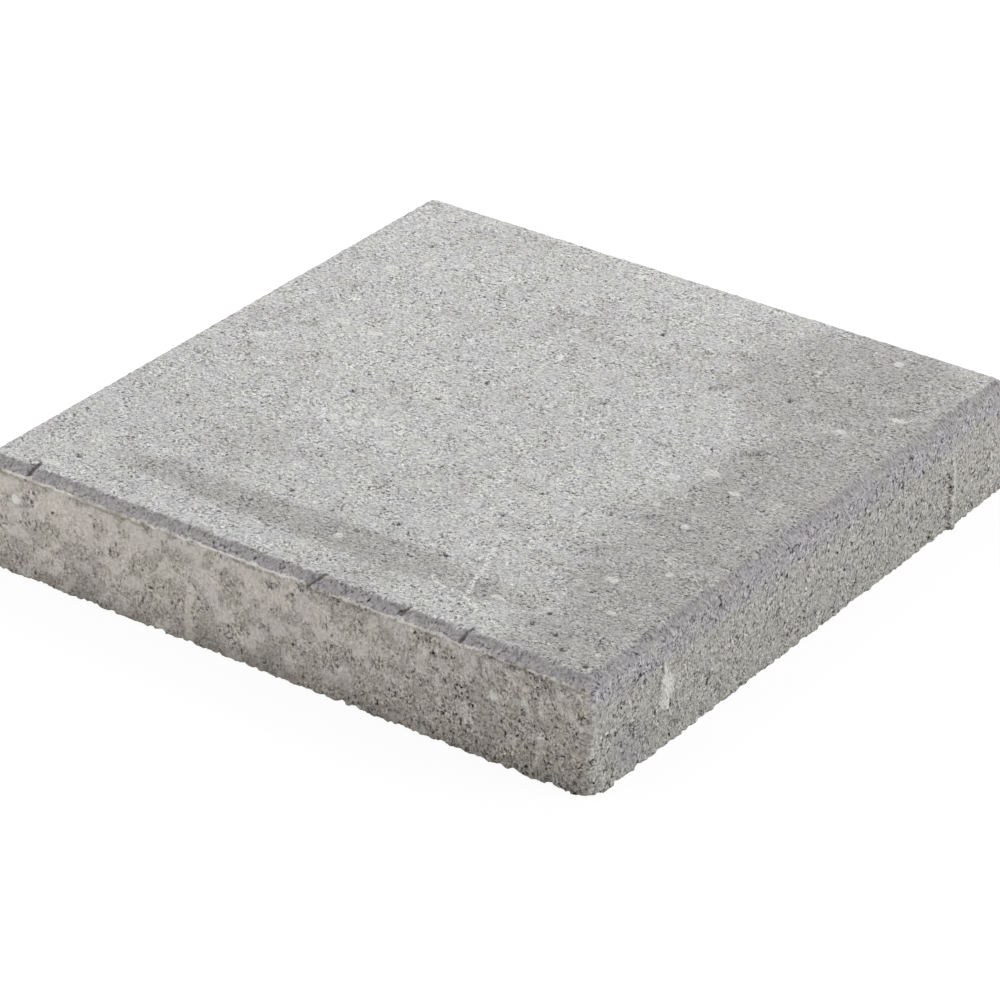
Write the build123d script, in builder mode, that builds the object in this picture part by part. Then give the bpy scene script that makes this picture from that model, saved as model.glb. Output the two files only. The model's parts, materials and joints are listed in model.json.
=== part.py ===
from build123d import *
import os

# Square concrete paving slab, pressed and cast in one piece. It lies as it is
# laid: the underside on z = 0 and the wearing face up. The origin is the middle
# of the square of the laying grid that one slab and its joints fill. The cast
# body therefore sits half a joint towards -X and -Y, and the spacer nibs on its
# +X and +Y sides reach out to the grid lines.

# Driving dimensions, in millimetres
grid_pitch = 300.0        # laying grid: one slab and one joint
joint_width = 2.0         # gap that the spacer nibs keep to the next slab
slab_thickness = 51.0     # nominally 50
corner_radius = 2.5       # upright corners of the mould

# Chamfer that the press shoe leaves round the wearing face
chamfer_run = 4.0
chamfer_drop = 3.5
shoe_clearance = 0.5      # narrow ledge between the shoe and the mould wall

# Spacer nibs: upright half-round ribs with a pointed head
nib_radius = 2.5
nib_spacing = 206.0       # between the two nibs of one side
nib_head_length = 15.0    # from the full rib up to its point
nib_head_depth = 9.0      # from the wearing face down to the point

# One nib has lost its foot, and its end has worn round
broken_foot_height = 16.0

# Sizes that follow
body_side = grid_pitch - joint_width
body_half = body_side / 2
body_middle = (-joint_width / 2, -joint_width / 2, 0)
ledge_height = slab_thickness - chamfer_drop
ledge_half = body_half - shoe_clearance
wearing_half = ledge_half - chamfer_run

nib_axis = grid_pitch / 2 - nib_radius
nib_shaft_top = slab_thickness - nib_head_depth - nib_head_length
worn_end_height = broken_foot_height + nib_radius

on_base = (Align.CENTER, Align.CENTER, Align.MIN)


def add_nib(x, y, foot_height):
    """A rib from foot_height up to its head, whose point lies under the side."""
    with Locations((x, y, foot_height)):
        Cylinder(nib_radius, nib_shaft_top - foot_height, align=on_base)
    with Locations((x, y, nib_shaft_top)):
        Cone(nib_radius, 0, nib_head_length, align=on_base)


with BuildPart() as paving_stone:
    # The mould: a square with its upright corners slightly rounded
    with BuildSketch(Plane(body_middle)):
        RectangleRounded(body_side, body_side, corner_radius)
    extrude(amount=slab_thickness)

    # The press shoe: the same chamfered section across and along, so that the
    # chamfers meet in a mitre at each corner
    for section in (
        Plane(body_middle, x_dir=(1, 0, 0), z_dir=(0, -1, 0)),
        Plane(body_middle, x_dir=(0, 1, 0), z_dir=(1, 0, 0)),
    ):
        with BuildSketch(section):
            with BuildLine():
                Polyline(
                    (0, 0),
                    (body_half, 0),
                    (body_half, ledge_height),
                    (ledge_half, ledge_height),
                    (wearing_half, slab_thickness),
                    (0, slab_thickness),
                )
                mirror(about=Plane.YZ)
            make_face()
        extrude(amount=body_half, both=True, mode=Mode.INTERSECT)

    # Two nibs on +X and two on +Y, which stand on the underside; the near one
    # on +X is the broken one
    add_nib(nib_axis, nib_spacing / 2, 0)
    add_nib(-nib_spacing / 2, nib_axis, 0)
    add_nib(nib_spacing / 2, nib_axis, 0)
    add_nib(nib_axis, -nib_spacing / 2, worn_end_height)
    with Locations((nib_axis, -nib_spacing / 2, worn_end_height)):
        Sphere(nib_radius)

paving_stone.part.label = "paving_stone"

os.makedirs("parts", exist_ok=True)
export_step(paving_stone.part, "parts/paving_stone.step")
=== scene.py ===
# %% [markdown]
# # A pressed concrete paving slab
# The slab is one casting. Damp concrete is filled into a steel mould and
# pressed from above by a shoe, which leaves the flat wearing face and the
# chamfer round it. The sides are what the mould wall rubbed as the slab was
# pushed out, and the lower edge is as ragged as the damp mix tore there. This
# lesson first loads the slab's solid as a fixed frame: it says how large
# everything is, and the dressed slab stands in its place.

# %% Load the frame
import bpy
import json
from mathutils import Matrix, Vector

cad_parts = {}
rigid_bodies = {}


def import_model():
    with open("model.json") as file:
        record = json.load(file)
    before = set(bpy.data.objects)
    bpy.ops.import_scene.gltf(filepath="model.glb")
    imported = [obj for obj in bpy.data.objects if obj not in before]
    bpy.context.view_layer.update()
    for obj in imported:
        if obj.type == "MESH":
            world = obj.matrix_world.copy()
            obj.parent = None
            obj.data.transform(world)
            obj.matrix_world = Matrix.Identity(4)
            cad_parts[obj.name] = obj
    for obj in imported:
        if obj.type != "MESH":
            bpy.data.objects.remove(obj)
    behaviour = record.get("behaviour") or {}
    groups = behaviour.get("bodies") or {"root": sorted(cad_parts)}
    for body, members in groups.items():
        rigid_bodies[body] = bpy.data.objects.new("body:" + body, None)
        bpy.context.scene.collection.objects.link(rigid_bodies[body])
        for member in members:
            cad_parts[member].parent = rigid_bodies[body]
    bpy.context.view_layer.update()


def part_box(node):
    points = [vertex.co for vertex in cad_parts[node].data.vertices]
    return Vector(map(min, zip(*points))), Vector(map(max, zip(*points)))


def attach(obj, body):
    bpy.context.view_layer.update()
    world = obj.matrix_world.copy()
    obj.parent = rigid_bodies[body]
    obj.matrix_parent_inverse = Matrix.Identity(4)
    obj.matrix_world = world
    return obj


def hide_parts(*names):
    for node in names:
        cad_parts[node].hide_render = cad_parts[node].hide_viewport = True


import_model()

import json
import math
import bmesh
import bpy
import numpy
from mathutils import Vector

# %% [markdown]
# ## Sizes
# The frame gives the laying grid's square and the thickness. The rest is what
# the mould and the shoe add: the joint that the nibs keep, the rounded upright
# corners, the chamfer and the narrow ledge at its foot. Written as named
# values, they are said once and every later step works from them.

# %% Name the sizes of the slab
MM = 0.001
grid_low, grid_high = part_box("paving_stone")
joint_width = 2 * MM
corner_radius = 2.5 * MM
shoe_clearance = 0.5 * MM
chamfer_run = 4 * MM
chamfer_drop = 3.5 * MM

body_low = Vector((grid_low.x, grid_low.y, 0))
body_high = Vector((grid_high.x - joint_width, grid_high.y - joint_width, grid_high.z))
body_side = body_high.x - body_low.x
body_middle = (body_low + body_high) / 2
thickness = body_high.z
ledge_height = thickness - chamfer_drop
wearing_half = body_side / 2 - shoe_clearance - chamfer_run
print(f"body {body_side / MM:.0f} mm square and {thickness / MM:.0f} mm thick")

# %% [markdown]
# ## The camera
# The camera comes before the looks, because each surface is judged from it. It
# was found by matching the slab's straight edges: they run together only
# slightly, so the slab is seen from far off with a long lens. A camera made at
# its place and turned by two angles is easier to read than one that tracks a
# target, and it says the viewing direction outright.

# %% Place the camera
camera_place = Vector((931.4, -1274.1, 894.0)) * MM
view_azimuth = math.radians(36.27)
view_elevation = math.radians(29.23)

bpy.ops.object.select_all(action="DESELECT")
bpy.ops.object.camera_add(location=camera_place)
camera = bpy.context.object
camera.name = "camera"
camera.rotation_euler = (math.pi / 2 - view_elevation, 0, view_azimuth)
camera.data.sensor_width = 36
camera.data.lens = 159.55
camera.data.clip_end = 50
bpy.context.scene.camera = camera
print(f"camera {camera_place.length:.2f} m from the slab")

# %% [markdown]
# ## The pressed body
# The real body is a block whose upright corners are slightly round and whose
# upper edge steps in by the ledge and then slopes to the wearing face. It could
# be drawn as a section and swept round, but a cube that is beveled, inset and
# extruded gives the same faces in three moves, each of which is one feature of
# the mould. Faces and edges are picked by where they lie, so that a changed
# size changes nothing else.

# %% Pick what an edit works on
def pick(kind, test):
    """Deselects all in edit mode, then selects the edges or faces that pass the test."""
    bpy.ops.mesh.select_mode(type=kind)
    bpy.ops.mesh.select_all(action="DESELECT")
    shape = bmesh.from_edit_mesh(bpy.context.edit_object.data)
    chosen = [item for item in (shape.edges if kind == "EDGE" else shape.faces) if test(item)]
    for item in chosen:
        item.select_set(True)
    shape.select_flush_mode()
    return len(chosen)


def settle(name):
    """Names the new object and puts its place and size into its mesh."""
    bpy.context.object.name = bpy.context.object.data.name = name
    bpy.ops.object.transform_apply(location=True, rotation=True, scale=True)
    return bpy.context.object


def is_upright(edge):
    return abs(edge.verts[0].co.z - edge.verts[1].co.z) > ledge_height / 2


def faces_up(face):
    return face.normal.z > 0.9


def faces_down(face):
    return face.normal.z < -0.9

# %% Shape the body
bpy.ops.object.select_all(action="DESELECT")
bpy.ops.mesh.primitive_cube_add(size=1, location=(body_middle.x, body_middle.y, ledge_height / 2),
                                scale=(body_side, body_side, ledge_height))
slab = settle("slab")
bpy.ops.object.mode_set(mode="EDIT")

print("upright edges rounded:", pick("EDGE", is_upright))
bpy.ops.mesh.bevel(offset=corner_radius, segments=4, affect="EDGES")

pick("FACE", faces_up)
bpy.ops.mesh.inset(thickness=shoe_clearance)
bpy.ops.mesh.extrude_region_move(TRANSFORM_OT_translate={"value": (0, 0, chamfer_drop)})
shrink = wearing_half / (wearing_half + chamfer_run)
bpy.ops.transform.resize(value=(shrink, shrink, 1), center_override=body_middle)
bpy.ops.object.mode_set(mode="OBJECT")
print("faces of the plain body:", len(slab.data.polygons))

# %% [markdown]
# ## The spacer nibs
# Two sides carry two nibs each. They are half-round ribs that stand 2 mm proud,
# keep the joint open and end in a long point under the chamfer, so that the
# slab slides out of its mould. A cylinder whose upper face is extruded and
# drawn together is that shape, and half of it stays hidden in the body. One nib
# has lost its foot, and its broken end has worn round.

# %% Name the sizes of a nib
nib_radius = 2.5 * MM
nib_reach = 103 * MM             # each nib's distance from the middle of the laying grid
nib_head_length = 15 * MM
nib_head_tip = 0.02              # the width left at the head's point, as a share of the nib's
nib_top = thickness - 9 * MM
nib_shaft_top = nib_top - nib_head_length
nib_axis = grid_high.x - nib_radius
broken_foot = 16 * MM
worn_rings = [(0.6, 0.8), (0.4, 0.2)]    # each ring's step down in radii, and the share of its width left
print(f"a whole nib is {nib_top / MM:.0f} mm tall")


def gather_end(test, rise, pinch):
    """Extrudes one end of the nib by rise and draws it together to pinch times its width."""
    pick("FACE", test)
    bpy.ops.mesh.extrude_region_move(TRANSFORM_OT_translate={"value": (0, 0, rise)})
    chosen = [v.co for v in bmesh.from_edit_mesh(bpy.context.edit_object.data).verts if v.select]
    bpy.ops.transform.resize(value=(pinch, pinch, 1), center_override=numpy.mean(chosen, axis=0))


def add_nib(x, y, foot):
    """Adds a nib that starts at the height of its foot. A foot above the ground is a broken one."""
    worn_end = nib_radius if foot else 0
    length = nib_shaft_top - foot - worn_end
    bpy.ops.mesh.primitive_cylinder_add(vertices=24, radius=nib_radius, depth=length,
                                        location=(x, y, nib_shaft_top - length / 2))
    nib = settle("nib")
    bpy.ops.object.mode_set(mode="EDIT")
    gather_end(faces_up, nib_head_length, nib_head_tip)
    if foot:
        for step, width in worn_rings:
            gather_end(faces_down, -step * nib_radius, width)
    bpy.ops.object.mode_set(mode="OBJECT")
    return nib

# %% Add the nibs and join them to the body
nibs = [add_nib(nib_axis, nib_reach, 0), add_nib(-nib_reach, nib_axis, 0),
        add_nib(nib_reach, nib_axis, 0), add_nib(nib_axis, -nib_reach, broken_foot)]
bpy.ops.object.select_all(action="DESELECT")
for nib in nibs:
    nib.select_set(True)
slab.select_set(True)
bpy.context.view_layer.objects.active = slab
bpy.ops.object.join()
print("nibs joined:", len(nibs))

# %% [markdown]
# ## One skin of even grain
# The nibs and the body still pass through each other. A voxel remesh melts them
# into one closed skin and covers it with small even faces, which a rough
# surface needs. A Boolean would join them as well, but it leaves long faces
# that can't be roughened. The voxel is as large as the smallest lump that is to
# be modelled: finer grain than that is left to the material.

# %% Remesh the slab
voxel = 0.8 * MM


def finish_with(kind, name, **settings):
    """Adds a modifier to the slab, sets it and applies it."""
    modifier = slab.modifiers.new(name, kind)
    for setting, value in settings.items():
        setattr(modifier, setting, value)
    bpy.ops.object.modifier_apply(modifier=name)


finish_with("REMESH", "one skin", mode="VOXEL", voxel_size=voxel)
print("vertices after the remesh:", len(slab.data.vertices))

# %% [markdown]
# ## Where the relief goes
# The slab's faces are rough in different ways, so each kind of relief needs to
# know where it acts. A vertex group holds a weight from 0 to 1 for each vertex,
# and a Displace modifier multiplies its move by it. The weights are worked out
# from where a vertex lies, which keeps them right when a size changes.

# %% Weigh the vertices
def places():
    """The slab's vertices as an array of x, y and z."""
    flat = numpy.empty(len(slab.data.vertices) * 3, numpy.float32)
    slab.data.vertices.foreach_get("co", flat)
    return flat.reshape(-1, 3)


def fade(value, start, end):
    """0 before start, 1 after end, and smooth between them."""
    part = numpy.clip((value - start) / (end - start), 0, 1)
    return part * part * (3 - 2 * part)


def within(distance, full, none):
    """1 up to the distance full, 0 past the distance none, and smooth between them."""
    return fade(-distance, -none, -full)


def weigh(name, weights, steps=20):
    """Keeps the weights in a vertex group, rounded to a number of steps."""
    group = slab.vertex_groups.new(name=name)
    rounded = numpy.rint(weights * steps).astype(int)
    for step in range(1, steps + 1):
        group.add(numpy.flatnonzero(rounded == step).tolist(), step / steps, "REPLACE")
    print(f"{name}: {numpy.count_nonzero(rounded)} vertices")


x, y, z = places().T
from_side = body_side / 2 - numpy.maximum(abs(x - body_middle.x), abs(y - body_middle.y))
on_side = within(from_side, 0.4 * MM, 1.2 * MM)
below_ledge = within(z, ledge_height - 1.5 * MM, ledge_height)
weigh("cast sides", on_side * below_ledge)
toward_nibs = fade(numpy.maximum(x, y), body_high.x - 6 * MM, body_high.x - 2 * MM)
at_foot = within(z, 0, 7 * MM) * within(from_side, 0, 6 * MM)
weigh("torn edge", at_foot * (1 - toward_nibs))
weigh("frayed edge", at_foot * toward_nibs)
weigh("underside", within(z, 0, 0.4 * MM) * fade(from_side, 1 * MM, 4 * MM))
ledge_distance = abs(z - ledge_height) + numpy.maximum(from_side - shoe_clearance, 0)
weigh("ledge", within(ledge_distance, 0.5 * MM, 1.3 * MM))
arris_distance = (thickness - z) + abs(body_side / 2 - wearing_half - from_side)
weigh("arris", within(arris_distance, 0.8 * MM, 2.5 * MM))
weigh("wearing face", fade(z, thickness - 0.4 * MM, thickness))

# %% [markdown]
# ## Lumps, tears and worn edges
# Displace pushes the skin by a procedural texture. Clouds of two sizes make the
# lumps of the cast sides. The lower edge is pulled upwards where the damp mix
# tore, and outwards under the nibs, where it frayed. Small clouds move the ledge
# and the arris, which are never quite straight. Moving vertices by hand would
# do for a few lumps, but this slab has thousands.

# %% Roughen the skin
def roughen(group, size, strength, middle=0.5, direction="NORMAL", depth=1):
    """Moves the group's vertices by clouds of the given size. Middle is the value that stays put."""
    texture = bpy.data.textures.new(f"{group} clouds", "CLOUDS")
    texture.noise_scale = size
    texture.noise_depth = depth
    finish_with("DISPLACE", group, texture=texture, texture_coords="LOCAL", vertex_group=group,
                direction=direction, mid_level=middle, strength=strength)


roughen("cast sides", size=8 * MM, strength=1.0 * MM)
roughen("cast sides", size=2.6 * MM, strength=0.7 * MM)
roughen("torn edge", size=3.2 * MM, strength=3.4 * MM, middle=0.42, direction="Z", depth=2)
roughen("torn edge", size=2.4 * MM, strength=1.6 * MM)
roughen("frayed edge", size=4 * MM, strength=2.6 * MM, middle=0.55, direction="Z", depth=2)
roughen("frayed edge", size=3.5 * MM, strength=2.2 * MM, middle=0.35)
roughen("underside", size=3.5 * MM, strength=1.6 * MM, middle=0.55, direction="Z")
roughen("ledge", size=2.5 * MM, strength=1.0 * MM, middle=0.4)
roughen("arris", size=3 * MM, strength=0.8 * MM, middle=0.55)
roughen("wearing face", size=22 * MM, strength=0.35 * MM, middle=0.7)
print("height after roughening:", round(max(places()[:, 2]) / MM, 2), "mm")

# %% [markdown]
# ## Pits, chips and the broken corner
# The photographed slab has a few larger marks: open pits in the wearing face, a
# hole low in one side, cracks across the chamfer and a worn lower corner. These
# are made as by hand, with proportional editing: the vertices nearest to a
# mark are moved, and their neighbours follow less and less with the distance.

# %% Push marks into the skin
no_run = 1e-9                    # stands for the length of a mark that is one place only


def near_line(start, end, reach):
    """The numbers of the vertices within reach of a line between two places given in mm."""
    start, end = numpy.array(start) * MM, numpy.array(end) * MM
    run = end - start
    part = numpy.clip((places() - start) @ run / max(run @ run, no_run), 0, 1)
    gap = numpy.linalg.norm(places() - start - part[:, None] * run, axis=1)
    return numpy.flatnonzero(gap < reach)


def push(marks, move, reach):
    """Moves the skin at each mark by move, in mm, and lets the skin within reach follow."""
    chosen = numpy.unique(numpy.concatenate([near_line(*mark, voxel) for mark in marks]))
    bpy.ops.object.mode_set(mode="EDIT")
    bpy.ops.mesh.select_mode(type="VERT")
    bpy.ops.mesh.select_all(action="DESELECT")
    shape = bmesh.from_edit_mesh(slab.data)
    shape.verts.ensure_lookup_table()
    for number in chosen:
        shape.verts[number].select_set(True)
    shape.select_flush_mode()
    bpy.ops.transform.translate(value=Vector(move) * MM, use_proportional_edit=True,
                                proportional_edit_falloff="SMOOTH", proportional_size=reach * MM)
    bpy.ops.object.mode_set(mode="OBJECT")
    return len(chosen)

# %% Place the pits, the chips and the broken corner
top = thickness / MM
fissures = [((-67, -99, top), (-63.4, -93.4, top)), ((62.5, 15, top), (67.7, 17.4, top)),
            ((24, 29, top), (27, 32, top)), ((89, -42.5, top), (95, -36, top)),
            ((138, -69, top), (139, -65.5, top)), ((126, 90, top), (130.5, 95, top)),
            ((85.6, -60, top), (88, -56.5, top)), ((-118, 13, top), (-112, 17, top)),
            ((-9, -77, top), (-4, -73.5, top)), ((54, 66, top), (60, 72, top)),
            ((98, 30, top), (101, 32, top))]
pits = [(-30.7, -100.5), (-30.3, -5.4), (-8.7, 58.2), (81, -42.4), (11, 95.2), (-117.6, 105.3), (-52, 23),
        (-22.6, 17), (19.2, -97.4), (46.2, -106.4), (126.8, -5.8), (86, 77), (-62.5, -21), (-116, -128.8),
        (104.6, -127.2), (116.6, -128.8), (106, -118), (125, -136.4), (138.7, -141), (49, -106)]
holes = [((x, y, top), (x, y, top)) for x, y in pits]
chips = [((-125, -149, 48), (-123, -145, top)), ((82, -148, 49), (85, -145, top)),
         ((16, -149, 48), (21, -145, top)), ((58, -149, 48), (61, -145, top))]
side_hole = [((148, -98, 6), (148, -95, 4.5))]
worn_corner = [((147.4, -149.4, 0), (147.4, -149.4, 1))]

print("vertices of the pits:", push(fissures + holes, move=(0, 0, -1.2), reach=1.7))
print("vertices of the chips:", push(chips, move=(0, 0.9, -0.7), reach=2.2))
print("vertices of the hole:", push(side_hole, move=(-2.6, 0, 0.8), reach=3.4))
print("vertices of the worn corner:", push(worn_corner, move=(-1.2, 1.2, 1.8), reach=7))

# %% [markdown]
# ## Flat on the ground, and thinner
# The slab lies on its underside, so nothing may reach below it: what does is
# pressed flat onto the level of the floor. The even skin has far more faces
# than its flat stretches need. Decimate by collapse removes them first where
# the skin is plain and last where it is rough.

# %% Level the underside
bpy.ops.object.mode_set(mode="EDIT")
bpy.ops.mesh.select_mode(type="VERT")
bpy.ops.mesh.select_all(action="DESELECT")
shape = bmesh.from_edit_mesh(slab.data)
sunken = [vertex for vertex in shape.verts if vertex.co.z < 0]
for vertex in sunken:
    vertex.select_set(True)
print("vertices pressed flat:", len(sunken))
shape.select_flush_mode()
bpy.ops.transform.resize(value=(1, 1, 0), center_override=(0, 0, 0))
bpy.ops.object.mode_set(mode="OBJECT")

# %% Thin the skin
most_triangles = 190000

slab.vertex_groups.clear()
finish_with("DECIMATE", "thin", ratio=most_triangles / (2 * len(slab.data.polygons)),
            use_collapse_triangulate=True)
bpy.ops.object.select_all(action="DESELECT")
slab.select_set(True)
bpy.ops.object.shade_smooth()
print("triangles:", len(slab.data.polygons))

# %% [markdown]
# ## A few helpers for materials
# A material is a tree of nodes, and written out link by link it is long. These
# helpers add one node, fill its inputs with values or with other nodes' outputs
# and hand back what it puts out, so that a material reads like a sentence.

# %% Add nodes
def fill(tree, node, inputs, output):
    """Fills a node's inputs with values or other nodes' outputs, and returns one of its outputs."""
    for socket, value in inputs.items():
        if isinstance(value, bpy.types.NodeSocket):
            tree.links.new(value, node.inputs[socket])
        else:
            node.inputs[socket].default_value = value
    return node.outputs[output]


def add_node(tree, kind, inputs, output=0, **settings):
    """Adds a shader node with its settings and inputs, and returns one of its outputs."""
    node = tree.nodes.new("ShaderNode" + kind)
    for setting, value in settings.items():
        setattr(node, setting, value)
    return fill(tree, node, inputs, output)


def axis(tree, place, letter):
    return add_node(tree, "SeparateXYZ", {0: place}, letter)


def channel(tree, colours, name):
    return add_node(tree, "SeparateColor", {0: colours}, name)

# %% Add nodes that reckon
def maths(tree, operation, first, second=0.0, third=0.0):
    return add_node(tree, "Math", {0: first, 1: second, 2: third}, operation=operation)


def times(tree, first, second):
    return maths(tree, "MULTIPLY", first, second)


def plus(tree, base, mask, amount):
    """The base, with the amount added as far as the mask says."""
    return maths(tree, "MULTIPLY_ADD", mask, amount, base)


def vector_maths(tree, operation, first, second=(0, 0, 0)):
    output = "Value" if operation in ("LENGTH", "DISTANCE", "DOT_PRODUCT") else "Vector"
    return add_node(tree, "VectorMath", {0: first, 1: second}, output, operation=operation)


def scaled(tree, vector, factor):
    """A vector or a colour times a factor."""
    return add_node(tree, "VectorMath", {0: vector, "Scale": factor}, "Vector", operation="SCALE")


def ramp(tree, value, start, end, low=0.0, high=1.0):
    """Low up to start, high after end, and smooth between them."""
    return add_node(tree, "MapRange", {0: value, 1: start, 2: end, 3: low, 4: high},
                    interpolation_type="SMOOTHSTEP")

# %% Add noise and colour
def noise(tree, place, size, detail=1.0, output=0):
    """Soft random values about 0.5, with lumps of the given size."""
    return add_node(tree, "TexNoise", {"Vector": place, "Scale": 1 / size, "Detail": detail}, output)


def blend(tree, factor, below, above):
    return add_node(tree, "Mix", {0: factor, 6: below, 7: above}, 2, data_type="RGBA")


def colour(red, green, blue):
    """A colour as a screen shows it, from 0 to 255, turned into the light it stands for."""
    def light(part):
        part /= 255
        return part / 12.92 if part < 0.04 else ((part + 0.055) / 1.055) ** 2.4
    return light(red), light(green), light(blue), 1.0

# %% [markdown]
# ## Node groups for what concrete is made of
# Every face of the slab shows pores and stones, and here and there a single
# mark. Each of these is one node group with named inputs, built once and used
# with its own values wherever it is needed.

# %% Start a node group
def start_group(name, inputs, outputs):
    """Makes an empty node group. Inputs give a start value: a number or three of them."""
    group = bpy.data.node_groups.new(name, "ShaderNodeTree")
    for socket, value in inputs.items():
        kind = "NodeSocketVector" if isinstance(value, tuple) else "NodeSocketFloat"
        group.interface.new_socket(socket, in_out="INPUT", socket_type=kind).default_value = value
    for socket in outputs:
        group.interface.new_socket(socket, in_out="OUTPUT", socket_type="NodeSocketFloat")
    return group, group.nodes.new("NodeGroupInput").outputs, group.nodes.new("NodeGroupOutput").inputs


def use_group(tree, group, inputs):
    """Places a node group with its own inputs, and returns what it puts out."""
    node = tree.nodes.new("ShaderNodeGroup")
    node.node_tree = group
    return fill(tree, node, inputs, 0)

# %% [markdown]
# ### Pores
# Pressed concrete is damp and stiff, so it keeps small open pores between the
# grains. They are irregular and come in clusters. Cutting a soft noise at a low
# level leaves just such islands, and a level that goes up and down over the
# surface gathers them.

# %% Build the pores
pores, given, result = start_group("pores", {"Place": (0, 0, 0), "Level": 0.35, "Size": 0.001}, ["Mask"])
scale = maths(pores, "DIVIDE", 1.0, given["Size"])
islands = add_node(pores, "TexNoise", {"Vector": given["Place"], "Scale": scale, "Detail": 2.0,
                                      "Roughness": 0.55})
depth = maths(pores, "SUBTRACT", given["Level"], islands)
pores.links.new(ramp(pores, depth, 0.0, 0.05), result["Mask"])

# %% [markdown]
# ### Stones
# Gravel shows as flat ovals where the shoe pressed it level. Voronoi cells are
# scattered like that. Only cells whose random number is high keep a stone, and
# another random number makes some of them larger.

# %% Build the stones
stones, given, result = start_group("stones", {"Place": (0, 0, 0), "Size": 0.006, "Share": 0.1}, ["Mask"])
scale = maths(stones, "DIVIDE", 1.0, given["Size"])
cells = add_node(stones, "TexVoronoi", {"Vector": given["Place"], "Scale": scale}).node.outputs
chance = channel(stones, cells["Color"], "Red")
largeness = channel(stones, cells["Color"], "Green")
has_stone = maths(stones, "GREATER_THAN", chance, maths(stones, "SUBTRACT", 1.0, given["Share"]))
radius = plus(stones, 0.2, largeness, 0.2)
inside = ramp(stones, maths(stones, "SUBTRACT", radius, cells["Distance"]), 0.0, 0.05)
stones.links.new(times(stones, has_stone, inside), result["Mask"])

# %% [markdown]
# ### Single marks
# A few marks are where this slab has them: a white stone, a patch of lime, a
# scrape. A patch is a distance from its middle, measured in its own half sizes.
# A scratch is a distance from a line, measured in its own width. Both put out
# the distance, so that many marks of one kind can share one edge.

# %% Build the patch
patch, given, result = start_group("patch", {"Place": (0, 0, 0), "Middle": (0, 0, 0),
                                             "Half size": (1, 1, 1)}, ["Reach"])
offset = vector_maths(patch, "SUBTRACT", given["Place"], given["Middle"])
reach = vector_maths(patch, "LENGTH", vector_maths(patch, "DIVIDE", offset, given["Half size"]))
patch.links.new(reach, result["Reach"])

# %% Build the scratch
scratch, given, result = start_group("scratch", {"Place": (0, 0, 0), "Start": (0, 0, 0), "Run": (1, 0, 0),
                                                 "Width": 0.001}, ["Reach"])
offset = vector_maths(scratch, "SUBTRACT", given["Place"], given["Start"])
along = vector_maths(scratch, "DOT_PRODUCT", offset, given["Run"])
whole = vector_maths(scratch, "DOT_PRODUCT", given["Run"], given["Run"])
part = add_node(scratch, "Math", {0: along, 1: whole}, operation="DIVIDE", use_clamp=True)
gap = vector_maths(scratch, "DISTANCE", offset, scaled(scratch, given["Run"], part))
scratch.links.new(maths(scratch, "DIVIDE", gap, given["Width"]), result["Reach"])
print("node groups:", [group.name for group in bpy.data.node_groups])

# %% [markdown]
# ## The concrete
# One material covers the slab, as one mix does in the mould. Masks worked out
# from the height and the direction of a face tell the wearing face, the chamfer
# and the sides apart, and each gets its own colour and share of the effects.
# The places they read are made uneven first, so that no border is a ruled line.

# %% Make the places uneven
material = bpy.data.materials.new("concrete")
material.use_nodes = True
tree = material.node_tree
tree.nodes.clear()

unevenness_size = 1.4 * MM
torn_shift = 2.6 * MM
neat_shift = 1.3 * MM

place = add_node(tree, "TexCoord", {}, "Object")
height = axis(tree, place, "Z")
unevenness = noise(tree, place, unevenness_size, output="Color")
unevenness = vector_maths(tree, "SUBTRACT", unevenness, (0.5, 0.5, 0.5))


def uneven_place(amount):
    """Places shifted at random, by up to about half the amount."""
    shift = vector_maths(tree, "MULTIPLY", unevenness, (amount, amount, amount))
    return vector_maths(tree, "ADD", place, shift)


def count_nodes(step):
    print(f"{step}: {len(tree.nodes)} nodes in all")


torn_place = uneven_place(torn_shift)
neat_place = uneven_place(neat_shift)
torn_x, torn_y = axis(tree, torn_place, "X"), axis(tree, torn_place, "Y")
neat_height = axis(tree, neat_place, "Z")
count_nodes("uneven places")

# %% Tell the faces apart
across = maths(tree, "ABSOLUTE", maths(tree, "SUBTRACT", torn_x, body_middle.x))
along = maths(tree, "ABSOLUTE", maths(tree, "SUBTRACT", torn_y, body_middle.y))
from_middle = maths(tree, "MAXIMUM", across, along)
wearing = ramp(tree, from_middle, wearing_half - 0.5 * MM, wearing_half + 0.7 * MM, 1.0, 0.0)
side = ramp(tree, neat_height, ledge_height - 0.3 * MM, ledge_height + 0.1 * MM, 1.0, 0.0)
facing = add_node(tree, "NewGeometry", {}, "Normal")
nib_side = ramp(tree, vector_maths(tree, "DOT_PRODUCT", facing, (1, 1, 0)), -0.3, 0.3)
plain_side = maths(tree, "SUBTRACT", side, times(tree, side, nib_side))
bed = ramp(tree, axis(tree, facing, "Z"), -0.4, -0.7)
chamfer = times(tree, maths(tree, "SUBTRACT", 1.0, wearing), maths(tree, "SUBTRACT", 1.0, side))
count_nodes("faces told apart")

# %% [markdown]
# ### Grain
# Sand is cells of light and dark, each with its own brightness. The relief is
# the skin of grains that a finger feels. Hollows are what lies between them:
# the shoe pressed the rest level, so only the low parts of their noise count.
# The mould wall and the shoe's edge dragged the grain downwards and outwards.
# Past the borders of the wearing face and below the ledge the places are drawn
# together, which draws the pattern out without a step at the border.

# %% Draw the grain out over the edges
drag = (0.3, 0.3, 0.12)          # along x, y and z

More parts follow.
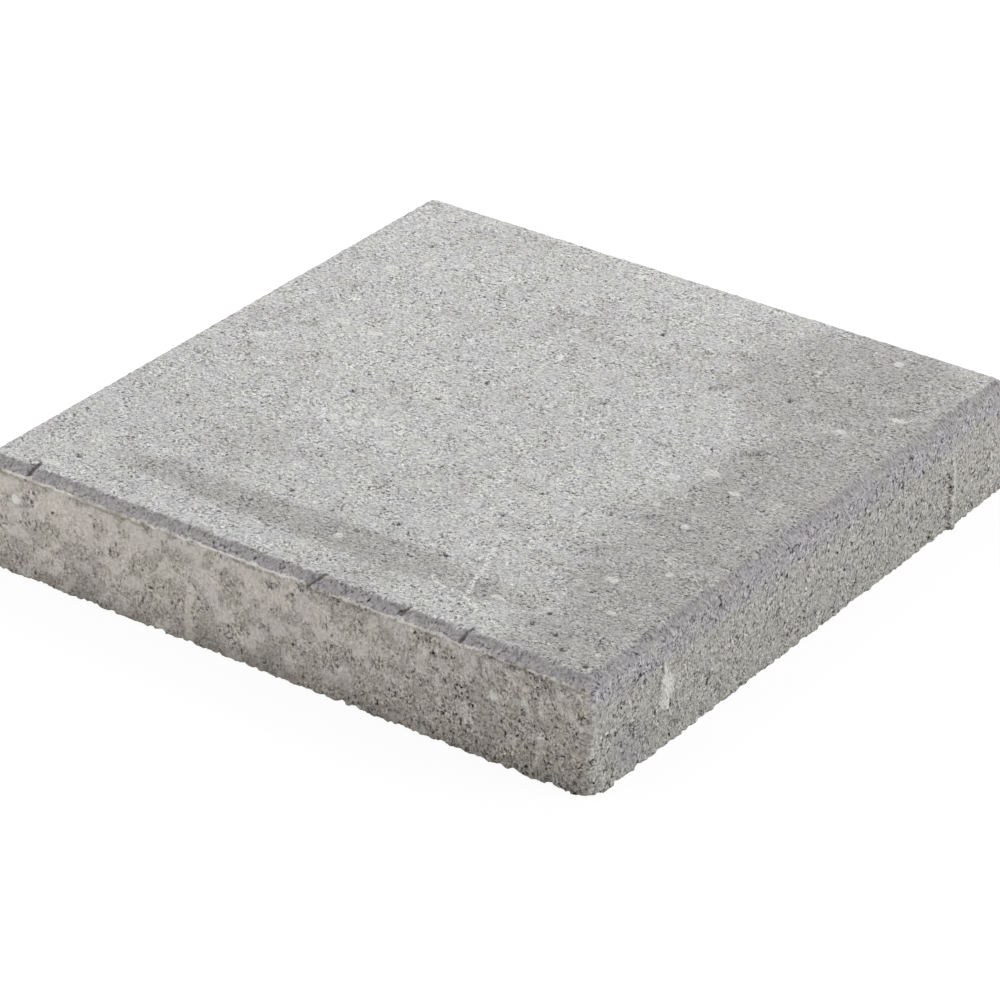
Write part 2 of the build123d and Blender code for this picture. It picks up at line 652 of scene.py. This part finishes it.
inner_low = body_middle - Vector((wearing_half, wearing_half, 0))
inner_high = body_middle + Vector((wearing_half, wearing_half, 0))
inner_low.z, inner_high.z = ledge_height, 2 * thickness
inner = vector_maths(tree, "MINIMUM", vector_maths(tree, "MAXIMUM", place, inner_low), inner_high)
beyond = vector_maths(tree, "SUBTRACT", place, inner)
dragged = vector_maths(tree, "SUBTRACT", place, vector_maths(tree, "MULTIPLY", beyond, drag))
count_nodes("dragged places")

# %% Make the sand and the grains
sand_size = 0.75 * MM
grain_size = 1.25 * MM

sand_cells = add_node(tree, "TexVoronoi", {"Vector": dragged, "Scale": 1 / sand_size}, "Color")
sand = plus(tree, -1.0, channel(tree, sand_cells, "Red"), 2.0)
grain_cells = add_node(tree, "TexVoronoi", {"Vector": dragged, "Scale": 1 / grain_size}, "Color")
light_grains = ramp(tree, channel(tree, grain_cells, "Red"), 0.78, 0.98)
dark_grains = ramp(tree, channel(tree, grain_cells, "Green"), 0.03, 0.14, 1.0, 0.0)
count_nodes("sand and grains")

# %% Make the relief and the clouds
noise_middle = 0.5
noise_spread = 0.1
relief_size = 1.3 * MM
hollow_size = 1.5 * MM
mottle_size = 12 * MM
cloud_size = 50 * MM
zone_size = 7 * MM


def about_zero(value):
    """Noise moved to 0 and divided by its spread, so that most of it lies between -2 and 2."""
    return times(tree, maths(tree, "SUBTRACT", value, noise_middle), 1 / noise_spread)


relief = about_zero(noise(tree, dragged, relief_size, detail=2.0))
hollow_noise = noise(tree, dragged, hollow_size, detail=3.0)
mottle = about_zero(noise(tree, place, mottle_size))
cloud = about_zero(noise(tree, place, cloud_size))
rough_zone = ramp(tree, noise(tree, place, zone_size, detail=2.0), 0.4, 0.62, 0.6, 1.2)
count_nodes("relief and clouds")

# %% [markdown]
# ### Ground colours
# The wearing face is a light neutral grey under a veil of lime, with a duller
# strip along one side. The chamfer is darker and a little lilac where the shoe's
# steel rubbed it, and painted shade darkens it further, most along its upper edge.

# %% Make masks of soft ovals
def patches(place, marks, softness):
    """One mask for soft ovals, each given by its middle and its half sizes in mm."""
    nearest = 100.0
    for mark in marks:
        reach = use_group(tree, patch, {"Place": place, "Middle": tuple(Vector(mark[:3]) * MM),
                                        "Half size": tuple(Vector(mark[3:]) * MM)})
        nearest = maths(tree, "MINIMUM", nearest, reach)
    return ramp(tree, nearest, 1 - softness, 1 + softness, 1.0, 0.0)


def on_top(marks, deep=60):
    """Full marks from x, y and two half sizes, for marks on the wearing face."""
    return [(x, y, top, half_x, half_y, deep) for x, y, half_x, half_y in marks]

# %% Mix the colour of the wearing face
paved = colour(212, 212, 211)
limed = colour(216, 216, 215)
dulled = colour(187, 185, 183)
lime_patches = [(-78, -5, 38, 48), (-40, -40, 45, 28), (50, -62, 28, 40), (-40, -143, 115, 8),
                (66, -137, 12, 8), (93, -142, 9, 4), (106, -133, 8, 4)]
dull_patches = [(140, -20, 48, 160), (0, -118, 100, 10), (100, 100, 50, 50)]

lime = patches(torn_place, on_top(lime_patches), 0.5)
dull = patches(torn_place, on_top(dull_patches), 0.3)
veil = plus(tree, times(tree, mottle, 0.14), cloud, 0.15)
wearing_ground = blend(tree, maths(tree, "ADD", lime, veil), paved, limed)
wearing_ground = blend(tree, maths(tree, "ADD", dull, veil), wearing_ground, dulled)
count_nodes("colour of the wearing face")

# %% Mix the colour of the chamfer
# Painted shade: the chamfer's colours are its rubbed colour made darker, and the ramp below darkens them
# more towards the upper edge.
rubbed_and_shaded_plain = colour(176, 173, 174)
rubbed_and_shaded_nibs = colour(178, 175, 177)
chamfer_foot_shade, chamfer_rim_shade = 1.02, 0.88

chamfer_shade = ramp(tree, height, ledge_height, thickness, chamfer_foot_shade, chamfer_rim_shade)
chamfer_ground = scaled(tree, blend(tree, nib_side, rubbed_and_shaded_plain, rubbed_and_shaded_nibs), chamfer_shade)
pressed_ground = blend(tree, wearing, chamfer_ground, wearing_ground)
count_nodes("colour of the chamfer")

# %% [markdown]
# The plain sides are smooth beige paste where the mix was wet, and more open
# between. Painted shade darkens them towards the ground, and they are more open
# towards one end. The nib sides are an even, rougher grey that turns blue
# towards the chamfer.

# %% Mix the colour of the plain sides
open_mix = colour(190, 185, 176)
smooth_paste = colour(202, 197, 189)
paste_size = 8 * MM
painted_foot_shade_level = 0.64

paste_noise = noise(tree, place, paste_size, detail=3.0)
paste_rise = ramp(tree, height, 10 * MM, 40 * MM, -0.05, 0.05)
paste_end = ramp(tree, torn_x, -20 * MM, 130 * MM, 0.0, -0.07)
paste_level = maths(tree, "ADD", paste_noise, maths(tree, "ADD", paste_rise, paste_end))
paste = ramp(tree, paste_level, 0.45, 0.55)
plain_ground = blend(tree, paste, open_mix, smooth_paste)
# Painted shade: the plain sides are scaled darker towards the ground.
foot_shade_height = plus(tree, height, mottle, 1.5 * MM)
painted_foot_shade = ramp(tree, foot_shade_height, -2 * MM, 14 * MM, painted_foot_shade_level, 1.0)
end_shade = ramp(tree, torn_x, -100 * MM, 150 * MM, 1.02, 0.98)
plain_ground = scaled(tree, plain_ground, times(tree, painted_foot_shade, end_shade))
count_nodes("colour of the plain sides")

# %% Mix the colours of the nib sides and the underside
nib_grey = colour(203, 201, 196)
nib_blue = colour(196, 194, 196)
damp_grey = colour(184, 182, 185)
bed_grey = colour(168, 165, 160)
damp_patch = [(149, -126, 12, 6, 13, 10)]
damp_strength = 0.6

blue_band = ramp(tree, plus(tree, height, mottle, 2 * MM), 33 * MM, 41 * MM)
nib_ground = blend(tree, blue_band, nib_grey, nib_blue)
damp = times(tree, patches(torn_place, damp_patch, 0.5), damp_strength)
nib_ground = blend(tree, damp, nib_ground, damp_grey)
side_ground = blend(tree, nib_side, plain_ground, nib_ground)
side_ground = blend(tree, bed, side_ground, bed_grey)
count_nodes("colour of the nib sides")

# %% Join the ground colours and tint them
warm_tint = (1.005, 1.0, 0.98, 1)
lilac_tint = (0.995, 0.983, 1.005, 1)
tint_size = 9 * MM

ground = blend(tree, side, pressed_ground, side_ground)
tint = ramp(tree, noise(tree, place, tint_size, detail=2.0), 0.35, 0.65)
ground = vector_maths(tree, "MULTIPLY", ground, blend(tree, tint, warm_tint, lilac_tint))
count_nodes("tinted ground")

# %% [markdown]
# ### Grain over colour
# The grain lightens and darkens the ground colour by a factor. In that factor
# the relief and the hollows are painted shade, darker where the surface lies
# low. Smooth paste has little of it, the open parts have much. The pores get a
# dark colour of their own, laid over the grain: painted shade inside them.

# %% Find where the surface is open
pore_size = 1.4 * MM

smoothness = times(tree, paste, plain_side)
side_openness = times(tree, plain_side, ramp(tree, torn_x, -20 * MM, 130 * MM, -0.22, 0.1))
openness = maths(tree, "ADD", side_openness, 1.0)
openness = plus(tree, openness, chamfer, -0.3)
openness = plus(tree, openness, smoothness, -0.4)

hollow_level = plus(tree, 0.405, side, 0.01)
hollow_level = plus(tree, hollow_level, mottle, 0.014)
hollow_level = plus(tree, hollow_level, smoothness, -0.03)
hollow = ramp(tree, maths(tree, "SUBTRACT", hollow_level, hollow_noise), 0.0, 0.05)

pore_level = plus(tree, 0.345, plain_side, -0.03)
pore_level = plus(tree, pore_level, smoothness, -0.02)
pore_level = plus(tree, pore_level, mottle, 0.015)
pore = use_group(tree, pores, {"Place": dragged, "Level": pore_level, "Size": pore_size})
count_nodes("hollows and pores")

# %% Lay the grain and the pores over the colour
sand_strength = 0.32
light_grain_strength = 0.22
dark_grain_strength = -0.36
# Painted shade: the relief and the hollows darken the colour where the surface lies low.
relief_shade_strength = 0.06
hollow_shade_strength = -0.5
mottle_strength = 0.02
# Painted shade: the dark colour laid into the pores.
pore_shade_colour = colour(92, 88, 82)

shading = times(tree, light_grains, light_grain_strength)
shading = plus(tree, shading, sand, sand_strength)
shading = plus(tree, shading, dark_grains, dark_grain_strength)
shading = plus(tree, shading, relief, relief_shade_strength)
shading = plus(tree, shading, hollow, hollow_shade_strength)
shading = times(tree, shading, times(tree, openness, rough_zone))
shading = plus(tree, shading, mottle, mottle_strength)
contrast = plus(tree, 1.2, wearing, -0.2)
grained = scaled(tree, ground, plus(tree, 1.0, shading, contrast))
pore_shade = times(tree, pore, plus(tree, 0.8, plain_side, -0.35))
pore_shaded = blend(tree, pore_shade, grained, pore_shade_colour)
count_nodes("grain over colour")

# %% [markdown]
# ### Gravel and white stones
# Many small pebbles are scattered. The larger white ones, which the shoe pressed
# level with the face, lie where the photographed slab has them.

# %% Scatter the gravel
gravel_colour = colour(214, 212, 206)
gravel_size = 4 * MM
gravel_share = 0.12
gravel_strength = 0.55

gravel = use_group(tree, stones, {"Place": neat_place, "Size": gravel_size, "Share": gravel_share})
gravelled = blend(tree, times(tree, gravel, gravel_strength), pore_shaded, gravel_colour)
count_nodes("gravel")

# %% Place the white stones
stone_colour = colour(239, 238, 234)
stone_strength = 0.72
stone_shift = 2 * MM
top_stones = [(-29.6, -3.3, 3.2, 2.2), (-119, 77, 2.4, 2.2), (-108, 90, 2.4, 2.4), (10, 15, 1.8, 1.8),
              (-20, 76, 2.4, 2), (-87, 24, 2.6, 2.4), (-24, 135, 2.5, 2.5), (-92, 99, 2.2, 2.2),
              (74, 3, 3, 1.8), (84, -4, 3.2, 2), (94.5, 7.4, 3.4, 2.6), (111, -1, 2.5, 1.8),
              (131, 88, 3.6, 2), (117, 66, 2.5, 2), (82, 105, 1.8, 1.8), (105, 130, 2.2, 2.2),
              (-37.7, -36.4, 3.6, 2.6), (-45, -42.5, 3.6, 2.2), (-55, -43.4, 3, 2.2), (-24, -48.6, 2.2, 2),
              (91, -26, 1.8, 1.8), (110, -34, 1.8, 1.8), (57.7, -81, 2.2, 1.6), (-124.6, -4.3, 2.6, 2),
              (-104.3, 26, 3, 2.4), (6.3, -118.5, 2.2, 1.8), (126, -68, 1.6, 1.6), (-122, -139, 5, 1.5),
              (83.6, -120, 3, 1.4), (104.2, -116, 1.8, 1.6), (138, -132, 1.6, 1.4),
              (124.6, -104.4, 2.2, 1.4), (110.6, -84.5, 3, 1.8)]
side_stones = [(104, -150, 29, 2.2, 4, 2), (118, -150, 31, 2, 4, 1.8), (-132, -150, 35, 2, 4, 2)]

stone_mask = patches(uneven_place(stone_shift), on_top(top_stones, deep=4) + side_stones, 0.2)
stoned = blend(tree, times(tree, stone_mask, stone_strength), gravelled, stone_colour)
print("stones placed:", len(top_stones + side_stones))

# %% [markdown]
# ### Fissures, cracks and scrapes
# The pits that were pushed into the skin are dark inside, and fine cracks cross
# the chamfer beside the chips: that dark colour is painted shade. Dotted white
# scrapes run over the front of the wearing face. Damp paste was squeezed out
# between shoe and mould: it left a pale burr just below the ledge, which a
# painted highlight makes paler, and a dark line of painted shadow under it on
# the plain sides. The crests of the nibs are rubbed pale, and the near nib's
# shaded flank is painted light.

# %% Paint shade into the pits and cracks
def lines(place, marks, width):
    """One mask for lines of a width, each given by its two ends. All are in mm."""
    nearest = 100.0
    for start, end in marks:
        run = (Vector(end) - Vector(start)) * MM
        reach = use_group(tree, scratch, {"Place": place, "Start": tuple(Vector(start) * MM),
                                          "Run": tuple(run), "Width": width * MM})
        nearest = maths(tree, "MINIMUM", nearest, reach)
    return ramp(tree, nearest, 0.3, 0.6, 1.0, 0.0)


# Painted shade: the dark colour inside the pits, fissures and cracks.
pit_shade_colour = colour(80, 76, 70)
pit_shade_strength = 0.8
crack_width = 2.0
cracks = [((-126, -150, 46), (-124, -143, top)), ((16, -150, 47), (21, -144, top)),
          ((58, -150, 47), (61, -144, top)), ((88, -150, 47), (90, -144, top)),
          ((149, -99, 6), (149, -94, 5))]

pit_shade_patches = patches(torn_place, on_top([(x, y, 1.2, 1.0) for x, y in pits], deep=4), 0.3)
pit_shade_mask = maths(tree, "MAXIMUM", lines(neat_place, fissures + cracks, crack_width), pit_shade_patches)
pit_shaded = blend(tree, times(tree, pit_shade_mask, pit_shade_strength), stoned, pit_shade_colour)
count_nodes("pits and cracks")

# %% Lighten the scrapes
scrape_colour = colour(250, 249, 246)
scrape_strength = 0.8
scrape_width = 2.2
dot_size = 1.3 * MM
trails = [[(60.6, -90, top), (64, -100, top), (67.3, -108, top), (69, -116, top), (72.5, -123, top)],
          [(54.3, -121.6, top), (61, -126, top), (67.5, -125.8, top), (75, -127.5, top),
           (83, -131.8, top)]]
scrape_lines = [pair for trail in trails for pair in zip(trail, trail[1:])]

broken_up = ramp(tree, noise(tree, place, dot_size), 0.4, 0.54)
scrape = times(tree, lines(neat_place, scrape_lines, scrape_width), broken_up)
scraped = blend(tree, times(tree, scrape, scrape_strength), pit_shaded, scrape_colour)
count_nodes("scrapes")

# %% Lay the burr with its painted highlight, and the painted shadow under it, along the ledge
# The burr's pale colour is partly its paste and partly a painted highlight. The dark colour under it is
# painted shadow.
burr_and_highlight_colour = colour(242, 240, 236)
burr_shadow_colour = colour(118, 113, 106)
burr_height = ledge_height - 0.6 * MM
burr_shadow_height = ledge_height - 2.1 * MM
wave_length, wave_height = 5 * MM, 3 * MM

ledge_noise = noise(tree, place, wave_length, detail=2.0)
wavy_height = plus(tree, neat_height, maths(tree, "SUBTRACT", ledge_noise, noise_middle),
                   wave_height)


def seam(level, half_width, fade_width):
    """One mask for a wavy seam that runs round the slab at a level."""
    distance = maths(tree, "ABSOLUTE", maths(tree, "SUBTRACT", wavy_height, level))
    return ramp(tree, distance, half_width, fade_width, 1.0, 0.0)


burr_and_highlight = times(tree, seam(burr_height, 0.2 * MM, 0.65 * MM), ramp(tree, mottle, -1.4, 0.2))
burr_and_highlight = times(tree, burr_and_highlight, plus(tree, 0.74, nib_side, -0.64))
burr_highlighted = blend(tree, burr_and_highlight, scraped, burr_and_highlight_colour)
# Painted shadow under the burr, on the plain sides.
burr_shadow = times(tree, seam(burr_shadow_height, 0.2 * MM, 1.0 * MM), ramp(tree, mottle, -0.4, 0.8, 0.5, 0.05))
burr_shadowed = blend(tree, times(tree, burr_shadow, plain_side), burr_highlighted, burr_shadow_colour)
count_nodes("burr and groove")

# %% Rub the crests of the nibs and paint light on the near nib's flank
crest_and_flank_light_colour = colour(250, 248, 240)
near_strength, far_strength = 0.95, 0.5
# The second near line lies on the near nib's shaded flank: painted light there.
near_crest_and_lit_flank_lines = [((150, -103.4, 17.5), (149.6, -103.2, 39)), ((149.2, -104.8, 19), (149.3, -104.6, 30))]
near_crest_foot = [(149.5, -101, 25.5, 4, 4.8, 6)]
far_crest_lines = [((150, 103, 5), (149.6, 103, 36)), ((-103, 150, 5), (-103, 149.6, 36)),
                   ((103, 150, 5), (103, 149.6, 36))]

near_crest_and_lit_flank = maths(tree, "MAXIMUM", lines(neat_place, near_crest_and_lit_flank_lines, width=3),
                   patches(neat_place, near_crest_foot, 0.3))
far_crest = lines(torn_place, far_crest_lines, width=2.4)
rubbed_and_lit = maths(tree, "MAXIMUM", times(tree, near_crest_and_lit_flank, near_strength), times(tree, far_crest, far_strength))
finished = blend(tree, rubbed_and_lit, burr_shadowed, crest_and_flank_light_colour)
count_nodes("rubbed crests")

# %% [markdown]
# ### The feel of the surface
# The same relief, hollows and pores that shade the colour also raise and lower
# the surface in a bump, so that light and colour agree. The sides are a little
# rougher than the face that the shoe pressed. Dry concrete has hardly any gloss.

# %% Finish the surface
relief_height = 0.25 * MM
extra_on_sides = 0.05 * MM
hollow_depth = 0.35 * MM
pore_depth = 0.5 * MM

rise = times(tree, relief, plus(tree, relief_height, side, extra_on_sides))
rise = times(tree, plus(tree, rise, hollow, -hollow_depth), openness)
rise = plus(tree, rise, pore, -pore_depth)
normal = add_node(tree, "Bump", {"Height": rise, "Distance": 1.0, "Strength": 1.0})
roughness = plus(tree, 0.9, relief, -0.02)
surface = add_node(tree, "BsdfPrincipled", {"Base Color": finished, "Roughness": roughness,
                                            "Normal": normal, "Specular IOR Level": 0.3})
tree.links.new(surface, tree.nodes.new("ShaderNodeOutputMaterial").inputs["Surface"])
slab.data.materials.clear()
slab.data.materials.append(material)
count_nodes("concrete")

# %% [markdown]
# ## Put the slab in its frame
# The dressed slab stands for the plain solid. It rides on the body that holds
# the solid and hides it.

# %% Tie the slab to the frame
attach(slab, "root")
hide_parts("paving_stone")

# %% [markdown]
# ## Floor and light
# A studio sweep shows a slab on white. The floor is a pale plane that sends the
# camera some light of its own, so that it looks white but keeps a faint shadow,
# and lights the slab only as a pale floor does. An even sky and three soft lamps
# light the slab. The key stands behind it and gives the wearing face the most
# light. The rim lights the sides with nibs, and the fill the plain ones.

# %% Find out who looks at a surface
def seen_directly(tree):
    """1 where a camera, a reflection or a view through glass shows it, 0 where it only lights."""
    path = tree.nodes.new("ShaderNodeLightPath").outputs
    in_glass = maths(tree, "MAXIMUM", path["Is Glossy Ray"], path["Is Transmission Ray"])
    return maths(tree, "MAXIMUM", path["Is Camera Ray"], in_glass)

# %% Lay the floor
floor_width = 12
floor_glow = 0.92
white = (1, 1, 1, 1)
pale_grey = (0.8, 0.8, 0.8, 1)
dark_grey = (0.12, 0.12, 0.12, 1)

bpy.ops.object.select_all(action="DESELECT")
bpy.ops.mesh.primitive_plane_add(size=floor_width, location=(0, 0, 0))
floor = settle("floor")
sweep = bpy.data.materials.new("white sweep")
sweep.use_nodes = True
tree = sweep.node_tree
tree.nodes.clear()
pale = add_node(tree, "BsdfDiffuse", {"Color": pale_grey})
faint = add_node(tree, "BsdfDiffuse", {"Color": dark_grey})
glow = add_node(tree, "Emission", {"Color": white, "Strength": floor_glow})
shown = add_node(tree, "AddShader", {0: faint, 1: glow})
mixed = add_node(tree, "MixShader", {0: seen_directly(tree), 1: pale, 2: shown})
tree.links.new(mixed, tree.nodes.new("ShaderNodeOutputMaterial").inputs["Surface"])
floor.data.materials.append(sweep)
print(f"floor {floor_width} m wide")

# %% Make the sky
sky_strength = 0.42

world = bpy.data.worlds.new("sky")
bpy.context.scene.world = world
world.use_nodes = True
tree = world.node_tree
tree.nodes.clear()
strength = plus(tree, sky_strength, seen_directly(tree), 1 - sky_strength)
sky = add_node(tree, "Background", {"Color": white, "Strength": strength})
tree.links.new(sky, tree.nodes.new("ShaderNodeOutputWorld").inputs["Surface"])
print("sky strength:", sky_strength)

# %% Light the studio
def add_softbox(name, azimuth, elevation, distance, size, power):
    """A square lamp that faces the slab from the given direction, in degrees."""
    turn, rise = math.radians(azimuth), math.radians(elevation)
    away = Vector((math.sin(turn) * math.cos(rise), math.cos(turn) * math.cos(rise), math.sin(rise)))
    bpy.ops.object.light_add(type="AREA", location=away * distance)
    lamp = bpy.context.object
    lamp.name = name
    lamp.data.size = size
    lamp.data.energy = power
    lamp.rotation_euler = away.to_track_quat("Z", "Y").to_euler()
    print(f"{name}: {power} W from {azimuth} degrees")


add_softbox("key", azimuth=-35, elevation=44, distance=1.3, size=0.7, power=10.4)
add_softbox("rim", azimuth=75, elevation=25, distance=1.5, size=0.7, power=7.7)
add_softbox("fill", azimuth=205, elevation=20, distance=1.2, size=0.8, power=3.9)


# %% [markdown]
# ## The view transform
# Colours are shown as they are written, so the view transform is Standard.

# %% Set the view transform
bpy.context.scene.view_settings.view_transform = "Standard"
